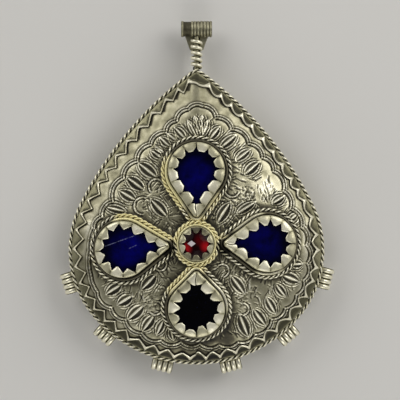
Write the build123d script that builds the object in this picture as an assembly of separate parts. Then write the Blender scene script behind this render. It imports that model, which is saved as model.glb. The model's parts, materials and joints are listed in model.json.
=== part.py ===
from build123d import *
import os
from math import acos, atan2, cos, degrees, hypot, pi, radians, sin, sqrt

# Amulet box of sheet silver: a teardrop pan with a domed front and a pull-off back.
# It lies on its back: Z = 0 is the outside of the back, +Z the front, +Y the bail.
# X = 0, Y = 0 is the middle of the centre stone. All sizes are in millimetres.

# Outline of the side wall, measured from the line through its widest place
BOX_HALF_WIDTH = 33.6
BOX_APEX = 48.2
BOX_FOOT = 29.95
SHOULDER_R = 26.9
FLANK_R = 101.2
APEX_R = 1.2
SHOULDER_Y = -1.95

# Back: plate with a lip past the wall, and a collar that grips inside the wall
PLATE_T = 0.8
PLATE_LIP = 0.8
COLLAR_T = 0.6
COLLAR_HEIGHT = 5.0
COLLAR_FIT = 0.15

# Front: wall strip and domed sheet
WALL_T = 0.8
WALL_HEIGHT = 9.0
DOME_RISE = 7.0
DOME_T = 0.8
DOME_POWER = 2.2
DOME_APEX_R = 3.0
DOME_SECTIONS = 6
PLATEAU_HALF_WIDTH = 6.7

# Toothed border strip and twisted rim wire
BORDER_T = 0.5
BORDER_ROOT = 0.4
BORDER_TOOTH = 2.3
BORDER_TEETH = 48
RIM_WIRE_D = 1.2
RIM_WIRE_SEAT = 0.1
RIM_WIRE_DROP = 0.3

# Teardrop settings: the round end's middle, by its reach from the centre or its margin to the wall
TOP_REACH = 19.4
LEFT_MARGIN = 14.1
RIGHT_MARGIN = 14.7
BOTTOM_MARGIN = 14.6
BEZEL_R = 7.6
BEZEL_TIP_R = 1.1
BEZEL_TIP_REACH = 8.0
BEZEL_T = 0.45
BEZEL_HEIGHT = 2.3
BEZEL_LIP_T = 0.45
BEZEL_TEETH = 14
TOOTH_LAND = 0.5
TOOTH_LENGTH = 2.0
WINDOW_REACH = 9.0
STONE_T = 1.3
STONE_FIT = 0.05
SETTING_DEPTH = 2.4
ROPE_D = 1.8
ROPE_HEIGHT = 1.0
ROPE_ROUND = 0.7

# Centre setting on the plateau of the dome
CENTRE_BEZEL_R = 4.65
CENTRE_BEZEL_HEIGHT = 2.9
CENTRE_TEETH = 8
CENTRE_TOOTH_LAND = 0.25
CENTRE_TOOTH_LENGTH = 1.35
CENTRE_ROPE_D = 1.4
GARNET_SIDES = 12
GARNET_GIRDLE_T = 0.9
GARNET_CROWN_R = 2.6
GARNET_TABLE_R = 1.6
GARNET_CROWN = 1.0

# Stem, its winding and the bail
STEM_LENGTH = 10.05
STEM_POST_R = 0.62
COIL_WIRE_D = 1.0
COIL_PITCH = 1.6
COIL_TURNS = 5
COIL_FIT = 0.03
COIL_TOP_GAP = 0.45
BAIL_LENGTH = 8.4
BAIL_BORE_R = 1.5
BAIL_STRIP_T = 0.5
BAIL_RIB = 0.22
BAIL_RIBS = 5
BAIL_RIB_PITCH = 0.86
BAIL_BEAD = 0.7
BAIL_Z = 5.3
TONGUE_LENGTH = 5.6
TONGUE_WIDE = 7.6
TONGUE_NARROW = 3.6
TONGUE_SUNK = 0.05
TONGUE_GAP = 0.05

# Ribbed loops on the lower edge, spaced along the wall to both sides of the foot
LOOP_FIRST = 8.8
LOOP_SPACING = 16.6
LOOP_STRAY = 0.6
LOOP_BORE_R = 1.2
LOOP_STRIP_T = 0.45
LOOP_RIB = 0.7
LOOP_RIBS = 4
LOOP_RIB_PITCH = 1.45
LOOP_SEAT = 0.2
LOOP_Z = 5.3

# Rolled paper inside, tied with a ribbon
SCROLL_R = 3.5
SCROLL_LENGTH = 36.0
SCROLL_Y = -16.0
TIE_WIDTH = 3.0
TIE_T = 0.4
TIE_FIT = 0.05

# Shortest edge that a profile draws, and points to a turn where the winding's gap is measured
LEAST_EDGE = 1e-6
POINTS_PER_TURN = 48

# Settings: name, direction from the centre in degrees, reach of the round end's middle
SETTINGS = (
    ("top", 90.0, TOP_REACH),
    ("left", 184.5, BOX_HALF_WIDTH - LEFT_MARGIN),
    ("right", 0.0, BOX_HALF_WIDTH - RIGHT_MARGIN),
    ("bottom", 270.0, BOX_FOOT - SHOULDER_Y - BOTTOM_MARGIN),
)

# Loops: name, distance along the wall from the foot; the side ones stray the same way round
LOOPS = [
    (row + side, sign * (LOOP_FIRST + place * LOOP_SPACING) + (LOOP_STRAY if row == "side" else 0))
    for side, sign in (("_right", 1), ("_left", -1))
    for place, row in enumerate(("bottom", "lower", "side"))
]

# Levels and places worked out from the sizes above
WALL_TOP = PLATE_T + WALL_HEIGHT
PLATEAU_Z = WALL_TOP + DOME_RISE
PLATEAU_SCALE = PLATEAU_HALF_WIDTH / BOX_HALF_WIDTH
BAIL_STRIP_R = BAIL_BORE_R + BAIL_STRIP_T
BAIL_R = BAIL_STRIP_R + BAIL_RIB
COIL_R = STEM_POST_R + COIL_FIT + COIL_WIRE_D / 2
TONGUE_T = BAIL_STRIP_T - 2 * TONGUE_SUNK
TONGUE_Z = BAIL_Z - BAIL_STRIP_R + TONGUE_SUNK
STEM_Z = TONGUE_Z + TONGUE_T + TONGUE_GAP + COIL_WIRE_D / 2 + COIL_R
LOOP_R = LOOP_BORE_R + LOOP_STRIP_T + LOOP_RIB
LOOP_LENGTH = LOOP_RIBS * LOOP_RIB_PITCH
TIE_R = SCROLL_R + TIE_FIT + TIE_T
SCROLL_Z = PLATE_T + TIE_FIT + TIE_R


def outline(grow=0.0, size=1.0, apex_r=None, z=0.0):
    """Teardrop wire of seven tangent arcs, from the foot round to the foot."""
    half = BOX_HALF_WIDTH * size
    apex = BOX_APEX * size
    foot = BOX_FOOT * size
    shoulder_r = SHOULDER_R * size
    flank_r = FLANK_R * size
    if apex_r is None:
        apex_r = APEX_R + max(grow, 0.0)
    shoulder_x = half - shoulder_r
    foot_r = (shoulder_x**2 + foot**2 - shoulder_r**2) / (2 * (foot - shoulder_r))
    foot_y = foot_r - foot
    reach = hypot(shoulder_x, apex)
    along = (flank_r**2 - (flank_r - shoulder_r) ** 2 + reach**2) / (2 * reach)
    aside = sqrt(flank_r**2 - along**2)
    flank_x = (shoulder_x * along - apex * aside) / reach
    flank_y = apex - (apex * along + shoulder_x * aside) / reach
    apex_y = flank_y + sqrt((flank_r + grow - apex_r) ** 2 - flank_x**2)
    turn_1 = degrees(atan2(-foot_y, shoulder_x))
    turn_2 = degrees(atan2(-flank_y, shoulder_x - flank_x))
    turn_3 = degrees(atan2(apex_y - flank_y, -flank_x))
    stops = (-90.0, turn_1, turn_2, turn_3, 180 - turn_3, 180 - turn_2, 180 - turn_1, 270.0)
    arcs = (
        (0.0, foot_y, foot_r + grow),
        (shoulder_x, 0.0, shoulder_r + grow),
        (flank_x, flank_y, flank_r + grow),
        (0.0, apex_y, apex_r),
        (-flank_x, flank_y, flank_r + grow),
        (-shoulder_x, 0.0, shoulder_r + grow),
        (0.0, foot_y, foot_r + grow),
    )
    edges = [
        CenterArc((x, y + SHOULDER_Y, z), radius, start, stop - start)
        for (x, y, radius), start, stop in zip(arcs, stops, stops[1:])
    ]
    return Wire(edges)


def prism(wire, height):
    return extrude(Face(wire), amount=height, dir=(0, 0, 1))


def dome(grow, rise):
    """Solid under a domed surface that rises from the wall's top to a small flat plateau."""
    wires = []
    for step in range(DOME_SECTIONS):
        size = 1 - (1 - PLATEAU_SCALE) * step / (DOME_SECTIONS - 1)
        climb = (1 - size**DOME_POWER) / (1 - PLATEAU_SCALE**DOME_POWER)
        apex_r = APEX_R + DOME_APEX_R * (1 - size)
        wires.append(outline(grow, size, apex_r, WALL_TOP + rise * climb))
    return Solid.make_loft(wires)


def petal(grow, reach):
    """Teardrop wire of a setting: X points from the tip to the round end, X = 0 is the tip's middle."""
    span = reach - BEZEL_TIP_REACH
    lean = degrees(acos((BEZEL_TIP_R - BEZEL_R) / span))
    round_end = CenterArc((span, 0), BEZEL_R + grow, -lean, 2 * lean)
    tip = CenterArc((0, 0), BEZEL_TIP_R + grow, lean, 360 - 2 * lean)
    return Wire([round_end, Line(round_end @ 1, tip @ 0), tip, Line(tip @ 1, round_end @ 0)])


def petal_window(reach):
    """Zigzag opening between the teeth, with a notch towards the tip."""
    span = reach - BEZEL_TIP_REACH
    lean = acos((BEZEL_TIP_R - BEZEL_R) / span)
    points = []
    for step in range(2 * BEZEL_TEETH):
        turn = pi * step / BEZEL_TEETH
        past = max(0.0, min(turn, 2 * pi - turn) - lean)
        edge = min((BEZEL_R - BEZEL_T) / cos(past), WINDOW_REACH)
        radius = edge - TOOTH_LAND - TOOTH_LENGTH * (step % 2)
        points.append((span + radius * cos(turn), radius * sin(turn)))
    return Wire.make_polygon(points, close=True)


def slab(face, low, high):
    return extrude(Pos(0, 0, low) * face, amount=high - low, dir=(0, 0, 1))


def ribbed_tube(bore_r, strip_t, marks):
    """Tube along X, centred, with a round rib on each (start, width, height) mark of its length."""
    base = bore_r + strip_t
    edges = []
    start = Vector(marks[0][0], base)
    first = start
    for left, width, height in marks:
        if left - start.X > LEAST_EDGE:
            edges.append(Line(start, (left, base)))
            start = Vector(left, base)
        end = Vector(left + width, base)
        edges.append(ThreePointArc(start, (left + width / 2, base + height), end))
        start = end
    edges += Polyline(start, (start.X, bore_r), (first.X, bore_r), first).edges()
    return revolve(Face(Wire(edges)), axis=Axis.X)


def biarc(p0, t0, p1, t1):
    """Two arcs that join two points and keep both directions."""
    chord = p1 - p0
    both = t0 + t1
    bend = 2 * (1 - t0.dot(t1))
    push = chord.dot(both)
    arm = (sqrt(push**2 + bend * chord.dot(chord)) - push) / bend
    first_knee = p0 + t0 * arm
    second_knee = p1 - t1 * arm
    middle = (first_knee + second_knee) * 0.5
    return [TangentArc(p0, middle, tangent=t0), TangentArc(middle, p1, tangent=second_knee - first_knee)]


# Back
back_plate = prism(outline(PLATE_LIP), PLATE_T)
collar_out = WALL_T + COLLAR_FIT
back_collar = prism(outline(-collar_out, z=PLATE_T), COLLAR_HEIGHT)
back_collar -= prism(outline(-collar_out - COLLAR_T, z=PLATE_T), COLLAR_HEIGHT)

# Paper roll and its ribbon, lying on the plate
scroll_place = Pos(0, SCROLL_Y, SCROLL_Z) * Rot(0, 90, 0)
prayer_scroll = scroll_place * Cylinder(SCROLL_R, SCROLL_LENGTH)
scroll_tie = scroll_place * (Cylinder(TIE_R, TIE_WIDTH) - Cylinder(SCROLL_R + TIE_FIT, TIE_WIDTH))

# Wall and dome
side_wall = prism(outline(z=PLATE_T), WALL_HEIGHT) - prism(outline(-WALL_T, z=PLATE_T), WALL_HEIGHT)
dome_skin = dome(0.0, DOME_RISE)
front_dome = dome_skin - dome(-WALL_T, DOME_RISE - DOME_T)
box_core = prism(outline(), WALL_TOP)
dome_core = dome_skin + box_core

# Border strip: a skin over the dome's margin, cut into teeth along its inner edge
root_wire = outline(-BORDER_ROOT)
tooth_wire = outline(-BORDER_ROOT - BORDER_TOOTH)
border_points = []
for tooth in range(BORDER_TEETH):
    border_points.append(root_wire.position_at((tooth + 0.5) / BORDER_TEETH))
    border_points.append(tooth_wire.position_at((tooth + 1.0) / BORDER_TEETH))
border_top = PLATEAU_Z + BORDER_T
border_field = prism(outline(), border_top)
border_field -= prism(Wire.make_polygon(border_points, close=True), border_top)
toothed_border = (Pos(0, 0, BORDER_T) * dome_core & border_field) - dome_core

# Rim wire, seated against the wall just under the dome's edge
rim_path = outline(RIM_WIRE_D / 2 - RIM_WIRE_SEAT, z=WALL_TOP - RIM_WIRE_DROP)
rim_section = Plane(origin=rim_path @ 0, z_dir=rim_path % 0) * Circle(RIM_WIRE_D / 2)
rim_wire = sweep(rim_section, path=rim_path) - prism(outline(), border_top)

# Settings
nodes = {}
centre_out_r = CENTRE_BEZEL_R + CENTRE_ROPE_D
centre_core = Pos(0, 0, PLATEAU_Z) * Cylinder(centre_out_r, 2 * PLATEAU_Z)
for name, direction, reach in SETTINGS:
    turn = radians(direction)
    middle = (BEZEL_TIP_REACH + reach) / 2
    upright = Axis((middle * cos(turn), middle * sin(turn), 0), (0, 0, 1))
    seat, normal = dome_skin.find_intersection_points(upright)[-1]
    outward = Vector(cos(turn), sin(turn), 0)
    place = Plane(seat, x_dir=outward - normal * normal.dot(outward), z_dir=normal)
    place = place.location * Pos(BEZEL_TIP_REACH - middle, 0, 0)
    cup = Face(petal(0.0, reach))
    inside = Face(petal(-BEZEL_T, reach))
    stone = Face(petal(-BEZEL_T - STONE_FIT, reach))
    lip_z = BEZEL_HEIGHT - BEZEL_LIP_T
    stone_z = lip_z - STONE_T
    bezel = slab(cup, -SETTING_DEPTH, BEZEL_HEIGHT) - slab(inside, -SETTING_DEPTH, lip_z)
    bezel -= slab(Face(petal_window(reach)), lip_z, BEZEL_HEIGHT)
    rope = slab(Face(petal(ROPE_D, reach)), -SETTING_DEPTH, ROPE_HEIGHT)
    rope = fillet(rope.edges().group_by(Axis.Z)[-1], ROPE_ROUND)
    rope -= slab(cup, -SETTING_DEPTH, ROPE_HEIGHT)
    nodes[name + "_bezel"] = place * bezel - dome_core - centre_core
    nodes[name + "_stone"] = place * slab(stone, stone_z, lip_z)
    nodes[name + "_bedding"] = place * slab(stone, -SETTING_DEPTH, stone_z) - dome_core
    nodes[name + "_rope_wire"] = place * rope - dome_core - centre_core

# Centre setting
centre_inner_r = CENTRE_BEZEL_R - BEZEL_T
centre_stone_r = centre_inner_r - STONE_FIT
centre_lip_z = CENTRE_BEZEL_HEIGHT - BEZEL_LIP_T
girdle_z = centre_lip_z - GARNET_GIRDLE_T
star = []
for step in range(2 * CENTRE_TEETH):
    turn = pi * step / CENTRE_TEETH
    radius = centre_inner_r - CENTRE_TOOTH_LAND - CENTRE_TOOTH_LENGTH * (step % 2)
    star.append((radius * cos(turn), radius * sin(turn)))
centre_bezel = slab(Circle(CENTRE_BEZEL_R), 0, CENTRE_BEZEL_HEIGHT)
centre_bezel -= slab(Circle(centre_inner_r), 0, centre_lip_z)
centre_bezel -= slab(Face(Wire.make_polygon(star, close=True)), centre_lip_z, CENTRE_BEZEL_HEIGHT)
crown_foot = Pos(0, 0, centre_lip_z) * RegularPolygon(GARNET_CROWN_R, GARNET_SIDES)
crown_top = Pos(0, 0, centre_lip_z + GARNET_CROWN) * RegularPolygon(GARNET_TABLE_R, GARNET_SIDES)
garnet = slab(RegularPolygon(centre_stone_r, GARNET_SIDES), girdle_z, centre_lip_z)
garnet += loft([crown_foot, crown_top], ruled=True)
centre_rope = slab(Circle(centre_out_r), 0, CENTRE_ROPE_D)
centre_rope = fillet(centre_rope.edges().group_by(Axis.Z)[-1], ROPE_ROUND)
centre_rope -= slab(Circle(CENTRE_BEZEL_R), 0, CENTRE_ROPE_D)
on_plateau = Pos(0, 0, PLATEAU_Z)
nodes["centre_bezel"] = on_plateau * centre_bezel
nodes["centre_garnet"] = on_plateau * garnet
nodes["centre_bedding"] = on_plateau * slab(Circle(centre_stone_r), 0, girdle_z)
nodes["centre_rope_ring"] = on_plateau * centre_rope

# Bail: a strip rolled into a tube, part plain and part ribbed, its end drawn out as a tongue
apex_top = outline().position_at(0.5).Y
bail_y = apex_top + STEM_LENGTH + BAIL_R
bail_end = BAIL_LENGTH / 2
ribs_from = bail_end - BAIL_BEAD - BAIL_RIBS * BAIL_RIB_PITCH
bail_marks = [(-bail_end, BAIL_BEAD, BAIL_RIB), (ribs_from - BAIL_BEAD, BAIL_BEAD, BAIL_RIB)]
for rib in range(BAIL_RIBS):
    bail_marks.append((ribs_from + rib * BAIL_RIB_PITCH, BAIL_RIB_PITCH, BAIL_RIB))
bail_marks.append((bail_end - BAIL_BEAD, BAIL_BEAD, BAIL_RIB))
tongue_low = bail_y - TONGUE_LENGTH
tongue_face = Face(Wire.make_polygon(
    [
        (-TONGUE_WIDE / 2, bail_y),
        (-TONGUE_NARROW / 2, tongue_low),
        (TONGUE_NARROW / 2, tongue_low),
        (TONGUE_WIDE / 2, bail_y),
    ],
    close=True,
))
bail_band = Pos(0, bail_y, BAIL_Z) * ribbed_tube(BAIL_BORE_R, BAIL_STRIP_T, bail_marks)
bail_band += slab(tongue_face, TONGUE_Z, TONGUE_Z + TONGUE_T)

# Stem: a post between wall and bail, wound with one wire in quarter turns
post_length = bail_y - apex_top + BAIL_BORE_R
stem_post = Pos(0, bail_y - post_length / 2, STEM_Z) * Rot(90, 0, 0) * Cylinder(STEM_POST_R, post_length)
stem_post -= box_core
stem_post -= bail_band
stem_post -= Pos(0, bail_y, BAIL_Z) * Rot(0, 90, 0) * Cylinder(BAIL_STRIP_R, BAIL_LENGTH)
coil_low = apex_top + STEM_LENGTH - COIL_TOP_GAP - COIL_TURNS * COIL_PITCH
coil_points = []
coil_ways = []
for step in range(4 * COIL_TURNS + 1):
    turn = pi * step / 2 - pi / 2
    climb = coil_low + COIL_PITCH * step / 4
    coil_points.append(Vector(COIL_R * cos(turn), climb, STEM_Z + COIL_R * sin(turn)))
    coil_ways.append(Vector(-COIL_R * sin(turn), COIL_PITCH / (2 * pi), COIL_R * cos(turn)).normalized())
coil_edges = [Line(coil_points[0] - coil_ways[0] * COIL_WIRE_D, coil_points[0])]
for p0, t0, p1, t1 in zip(coil_points, coil_ways, coil_points[1:], coil_ways[1:]):
    coil_edges += biarc(p0, t0, p1, t1)
coil_edges.append(Line(coil_points[-1], coil_points[-1] + coil_ways[-1] * COIL_WIRE_D))
coil_path = Wire(coil_edges)
coil_section = Plane(origin=coil_path @ 0, z_dir=coil_path % 0) * Circle(COIL_WIRE_D / 2)
stem_coil = sweep(coil_section, path=coil_path)

# Least gap of the winding to itself, on points more than half a turn apart
point_count = POINTS_PER_TURN * COIL_TURNS
dots = [coil_path.position_at(i / point_count) for i in range(point_count + 1)]
apart = min((q - p).length for i, p in enumerate(dots) for q in dots[i + POINTS_PER_TURN // 2:])
print("stem_coil least gap to itself: %.2f mm" % (apart - COIL_WIRE_D))
wire_volume = pi * (COIL_WIRE_D / 2) ** 2 * coil_path.length
print("stem_coil volume %.3f, section times length %.3f" % (stem_coil.volume, wire_volume))

# Loops: short ribbed tubes along the lower edge, each cut to sit on the wall
foot_wire = outline(z=LOOP_Z)
for name, along in LOOPS:
    where = along if along > 0 else foot_wire.length + along
    point = foot_wire.position_at(where, position_mode=PositionMode.LENGTH)
    way = foot_wire.tangent_at(where, position_mode=PositionMode.LENGTH)
    out = way.cross(Vector(0, 0, 1))
    middle = point + out * (LOOP_R - LOOP_SEAT)
    left_end = -LOOP_LENGTH / 2
    rib_marks = [(left_end + i * LOOP_RIB_PITCH, LOOP_RIB_PITCH, LOOP_RIB) for i in range(LOOP_RIBS)]
    tube = ribbed_tube(LOOP_BORE_R, LOOP_STRIP_T, rib_marks)
    nodes["loop_" + name] = Plane(middle, x_dir=way, z_dir=(0, 0, 1)).location * tube - box_core

nodes.update(
    back_plate=back_plate,
    back_collar=back_collar,
    prayer_scroll=prayer_scroll,
    scroll_tie=scroll_tie,
    side_wall=side_wall,
    front_dome=front_dome,
    toothed_border=toothed_border,
    rim_wire=rim_wire,
    bail_band=bail_band,
    stem_post=stem_post,
    stem_coil=stem_coil,
)
os.makedirs("parts", exist_ok=True)
for name, shape in nodes.items():
    shape.label = name
    export_step(shape, "parts/" + name + ".step")
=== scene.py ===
import json
from math import acos, atan2, cos, hypot, pi, radians, sin, sqrt, tau

import bmesh
import bpy
import numpy as np
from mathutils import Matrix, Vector
from mathutils.bvhtree import BVHTree
from mathutils.kdtree import KDTree


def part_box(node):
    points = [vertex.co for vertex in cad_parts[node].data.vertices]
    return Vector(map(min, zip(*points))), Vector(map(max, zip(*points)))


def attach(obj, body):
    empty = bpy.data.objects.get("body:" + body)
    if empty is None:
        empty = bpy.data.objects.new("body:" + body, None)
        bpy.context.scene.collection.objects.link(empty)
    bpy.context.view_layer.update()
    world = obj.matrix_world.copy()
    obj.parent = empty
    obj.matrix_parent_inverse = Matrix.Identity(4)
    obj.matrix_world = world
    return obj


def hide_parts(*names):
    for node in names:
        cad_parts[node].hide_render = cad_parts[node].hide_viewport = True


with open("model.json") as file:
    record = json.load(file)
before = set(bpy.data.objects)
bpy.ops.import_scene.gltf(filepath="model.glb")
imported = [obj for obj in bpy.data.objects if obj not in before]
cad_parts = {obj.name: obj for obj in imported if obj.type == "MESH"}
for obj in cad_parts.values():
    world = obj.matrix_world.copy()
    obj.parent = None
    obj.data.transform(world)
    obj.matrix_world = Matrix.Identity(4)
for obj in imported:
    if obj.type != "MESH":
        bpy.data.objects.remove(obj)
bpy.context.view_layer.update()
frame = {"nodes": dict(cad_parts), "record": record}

# Amulet box of old silver, lying on its back. Sizes are in millimetres, as in the part's source.
MM = 0.001

# Outline of the side wall, and the sheet that closes it
BOX_HALF_WIDTH = 33.6
BOX_APEX = 48.2
BOX_FOOT = 29.95
SHOULDER_R = 26.9
FLANK_R = 101.2
APEX_R = 1.2
SHOULDER_Y = -1.95
WALL_TOP = 9.8
WALL_T = 0.8
DOME_T = 0.8
PLATEAU_Z = 16.8

# Twisted wires: turns, steps of a turn, radius of the lay, radius of a strand, painted shade in the slots
RIM_TWIST = (65, 14, 0.24, 0.29, 0.75)
PETAL_TWIST = (21, 18, 0.26, 0.31, 0.45)
CENTRE_TWIST = (13, 18, 0.30, 0.34, 0.2)
RIM_WIRE_OUT = 0.5
RIM_WIRE_DROP = 0.3

# Toothed border: steps along the wall, widest reach, and the places along the wall where two teeth meet
BORDER_STEPS = 1080
BORDER_REACH = 3.4
BORDER_ROOTS = (
    2.6, 6.5, 11.0, 14.9, 19.5, 23.7, 28.8, 33.4, 36.4, 41.2, 44.9, 49.9, 54.1, 59.1, 64.2, 67.6, 71.2,
    75.8, 80.2, 84.7, 89.4, 93.5, 97.7, 101.4, 105.7, 112.9, 116.5, 121.0, 126.3, 131.6, 136.6, 141.6,
    146.5, 150.5, 155.9, 160.1, 164.7, 170.0, 175.0, 179.7, 183.5, 187.8, 192.2, 196.4, 200.5, 205.8, 209.8,
    214.0, 218.5,
)

# The border's make changes along the wall: place, depth of a root, depth of a tip, straightness of the teeth
# and painted shade, darkest at the foot and darker on the upper right than on the left
BORDER_MAKE = (
    (0.0, 0.35, 2.5, 0.35, 1.05), (20.0, 0.40, 2.8, 0.30, 0.90), (34.0, 0.45, 2.6, 0.25, 0.45),
    (48.0, 0.55, 2.5, 0.35, 0.20), (62.0, 0.55, 2.3, 0.30, 0.20), (76.0, 0.45, 2.0, 0.05, 0.40),
    (92.0, 0.45, 2.0, 0.00, 0.55), (103.0, 0.45, 2.1, 0.05, 0.75), (109.5, 0.50, 2.7, 0.20, 0.75),
    (118.0, 0.50, 2.4, 0.80, 0.30), (132.0, 0.60, 2.8, 1.00, 0.05), (150.0, 0.60, 2.8, 0.90, 0.00),
    (165.0, 0.50, 2.9, 0.90, 0.00), (180.0, 0.60, 3.0, 0.90, 0.20), (196.0, 0.70, 2.7, 0.80, 0.50),
    (210.0, 0.50, 2.5, 0.50, 1.00), (221.0, 0.35, 2.5, 0.35, 1.05),
)

# Teardrop settings: direction from the centre, reach of the round end's middle
SETTINGS = (("top", 90.0, 19.4), ("left", 184.5, 19.5), ("right", 0.0, 18.9), ("bottom", 270.0, 17.3))
BEZEL_R = 7.6
BEZEL_TIP_R = 1.1
BEZEL_TIP_REACH = 8.0
STONE_TOP = 1.85
STONE_T = 1.3
STONE_GAP = 0.5
STONE_STEPS = 112
ROPE_D = 1.8
PETAL_WIRE_R = 0.42

# Centre setting
CENTRE_BEZEL_R = 4.65
CENTRE_ROPE_R = 5.7
CENTRE_OUT_R = 6.3
CENTRE_WIRE_R = 0.3
GARNET_SIDES = 12

# Bezels: number of teeth, height of the bend, width of the uncut edge and length of a tooth
PETAL_BEZEL = (14, 2.3, 1.15, 1.5)
CENTRE_BEZEL = (10, 2.9, 0.35, 1.85)
TOOTH_STEPS = 16
# How their teeth are cut: least and most bluntness, curve of the sides, room to the axis within which a tooth
# closes the gap
TOOTH_CUT = {"top": (1.6, 2.4, 1.6, 3.3), "left": (1.0, 1.3, 1.2, 3.3), "right": (1.1, 1.5, 1.3, 3.3),
             "bottom": (1.2, 1.8, 1.5, 3.3), "centre": (1.0, 1.4, 1.15, 0.0)}

# Ribbed tubes: groove radius, crest radius, tarnish and painted shade in the grooves, and tarnish on the crests
BAIL_RIBS = (1.95, 2.3, 0.76, 0.36)
LOOP_RIBS = (1.8, 2.33, 1.0, 0.02)

# Stem and its winding
STEM_Z = 5.45
COIL_R = 1.15
COIL_WIRE_R = 0.5
COIL_PITCH = 1.6
COIL_TURNS = 5
COIL_STEPS = 30
COIL_LOW = 47.56

# Paper roll and its ribbon
ROLL_R = 3.5
ROLL_LENGTH = 36.0
ROLL_Y = -16.0
ROLL_Z = 4.8
ROLL_TURNS = 7.4
ROLL_CORE_R = 0.75
PAPER_T = 0.13
TIE_WIDTH = 3.0

# Chased leaves: base x, y, tip x, y and width
LEAVES = (
    (3.6, 27.9, 6.1, 31.1, 1.89), (6.4, 25.5, 10.5, 28.9, 2.03), (10.6, 22.2, 14.3, 25.1, 1.89),
    (13.0, 18.5, 16.7, 21.7, 2.4), (20.4, 10.7, 23.5, 12.6, 1.89),
    (24.7, 5.9, 27.1, 7.8, 1.62), (25.8, -5.7, 28.3, -5.6, 1.89), (23.2, -8.6, 27.4, -10.3, 2.6),
    (21.3, -11.0, 23.8, -14.2, 1.89), (18.7, -14.6, 21.1, -18.7, 2.16), (15.3, -17.8, 18.4, -21.9, 2.29),
    (11.5, -19.0, 13.8, -24.8, 2.8), (9.3, -8.8, 12.7, -13.2, 2.43), (5.6, 5.6, 8.8, 10.7, 2.57),
    (10.9, 8.0, 15.5, 10.9, 1.89), (-3.1, 28.1, -5.7, 30.9, 1.89), (-7.2, 26.0, -9.6, 28.2, 1.76),
    (-9.4, 22.9, -12.0, 24.8, 1.76), (-10.8, 17.8, -15.4, 21.4, 2.7), (-14.2, 14.4, -18.5, 17.6, 2.7),
    (-16.4, 11.6, -20.5, 14.0, 2.5), (-19.0, 8.5, -24.2, 9.7, 1.89), (-20.3, -11.1, -24.1, -13.6, 2.5),
    (-17.4, -14.2, -21.0, -16.4, 2.6), (-14.3, -16.8, -18.3, -20.4, 2.7), (-11.4, -19.5, -14.4, -23.5, 2.43),
    (-8.8, -20.5, -10.6, -24.4, 1.89), (-10.9, -8.4, -14.5, -12.1, 2.7), (-8.0, 7.3, -12.0, 11.6, 2.7),
    (-6.9, -23.0, -6.2, -25.8, 1.62), (0.8, 28.9, -0.4, 33.8, 1.22), (1.4, 28.9, 1.5, 34.0, 1.22),
    (1.9, 28.8, 3.2, 32.9, 1.22), (0.1, 28.6, -2.2, 32.7, 1.22), (-5.4, 27.5, -7.6, 29.2, 1.5),
    (-9.2, 24.5, -10.9, 25.8, 1.0),
)

# Places where the chased scallops meet, clockwise from the palmette
SCALLOP_JOINTS = (
    (1.6, 36.8), (5.1, 33.6), (9.3, 30.5), (13.9, 26.7), (17.7, 23.0), (20.7, 19.4),
    (23.4, 14.0), (25.2, 9.2), (28.2, 4.3), (29.6, -0.5), (29.8, -5.4), (28.8, -10.0),
    (26.9, -14.0), (23.9, -17.6), (20.2, -20.5), (15.8, -24.6), (11.2, -26.7), (6.1, -27.4),
    (0.9, -27.1), (-4.2, -26.6), (-9.6, -26.2), (-14.7, -24.2), (-19.0, -20.5), (-22.8, -17.3),
    (-26.6, -13.2), (-28.4, -8.6), (-28.4, -1.9), (-27.4, 3.8), (-25.3, 7.0), (-22.4, 11.2),
    (-19.5, 17.4), (-15.8, 21.9), (-12.15, 26.4), (-8.1, 29.6), (-5.2, 32.8), (-2.1, 35.9),
)
SCALLOP_SAG = 0.20
FLAT_SAG = 0.07
FLAT_SCALLOPS = (24, 25, 26)

# Punched patches and small scrolls between the settings: x, y, radius, and for a scroll the angle of its start
PUNCHED = (
    (-11.9, -15.3, 2.1), (12.0, -15.4, 1.9), (15.4, -13.1, 1.7), (13.4, 13.0, 2.2),
    (-13.4, 10.8, 1.9), (8.5, 4.1, 1.3), (-8.2, 4.1, 1.2),
)
SCROLLS = ((-14.4, 10.0, 2.3, 1.2), (-10.8, 15.2, 2.0, 0.4), (9.5, 14.4, 2.0, 2.2),
           (-9.6, -5.6, 1.6, 3.6), (6.9, -7.2, 1.7, 5.0), (-11.0, -17.2, 1.9, 3.8), (12.4, -17.6, 1.6, 4.2))
SCROLL_SWEEP = 3.6
STROKES = 1300

# Places of the sheet that are tarnished, or paler where the amount is below zero: x, y, width, height and
# amount; the paler place at 18.8, 15.2 is worn, the two paler strips at the flanks are painted highlight
SHEET_TONES = (
    (0.0, 0.0, 11.0, 11.0, 0.5), (8.2, -23.4, 2.6, 4.2, 0.6), (-14.0, 19.0, 9.0, 9.0, 0.14),
    (18.8, 15.2, 2.2, 1.7, -0.8), (-28.9, 2.5, 1.8, 6.5, -0.35), (29.6, 1.0, 1.6, 7.0, -0.45),
)

# Places of the ropes where gilding is left, where the silver is worn bright and where painted shade darkens
# them beside the centre: x, y, reach and amount; and the heights that these are measured at
GILDED = ((-6.5, 15.5, 9.0, 1.0), (-17.5, 6.5, 5.5, 1.0), (-10.5, 3.0, 5.5, 1.0), (-4.5, -10.0, 5.5, 0.8),
          (0.0, 0.0, 9.5, 0.95), (4.0, 11.0, 4.5, 0.45))
SILVER_WORN = ((14.0, 5.2, 5.5, 0.8), (19.5, -7.4, 4.5, 0.8), (6.0, -13.5, 6.0, 0.9))
ROPE_PAINTED_SHADE = ((-7.4, -1.3, 2.8, 1.0), (7.3, -0.9, 2.8, 1.0))
ROPE_Z = 15.0
ROPE_PAINTED_SHADE_Z = 17.2

# Grid of the chased sheet, and the dots along the wall's outline
PITCH = 0.175
FIELD_LOW = (-34.3, -32.9)
FIELD_CELLS = (392, 456)
OUTLINE_DOTS = 4600
# Width over which the dome's facets are softened, the margin that is left as it is, and its fade
SOFTENED = 0.9
PLAIN_MARGIN = 2.2
MARGIN_FADE = 2.0
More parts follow.
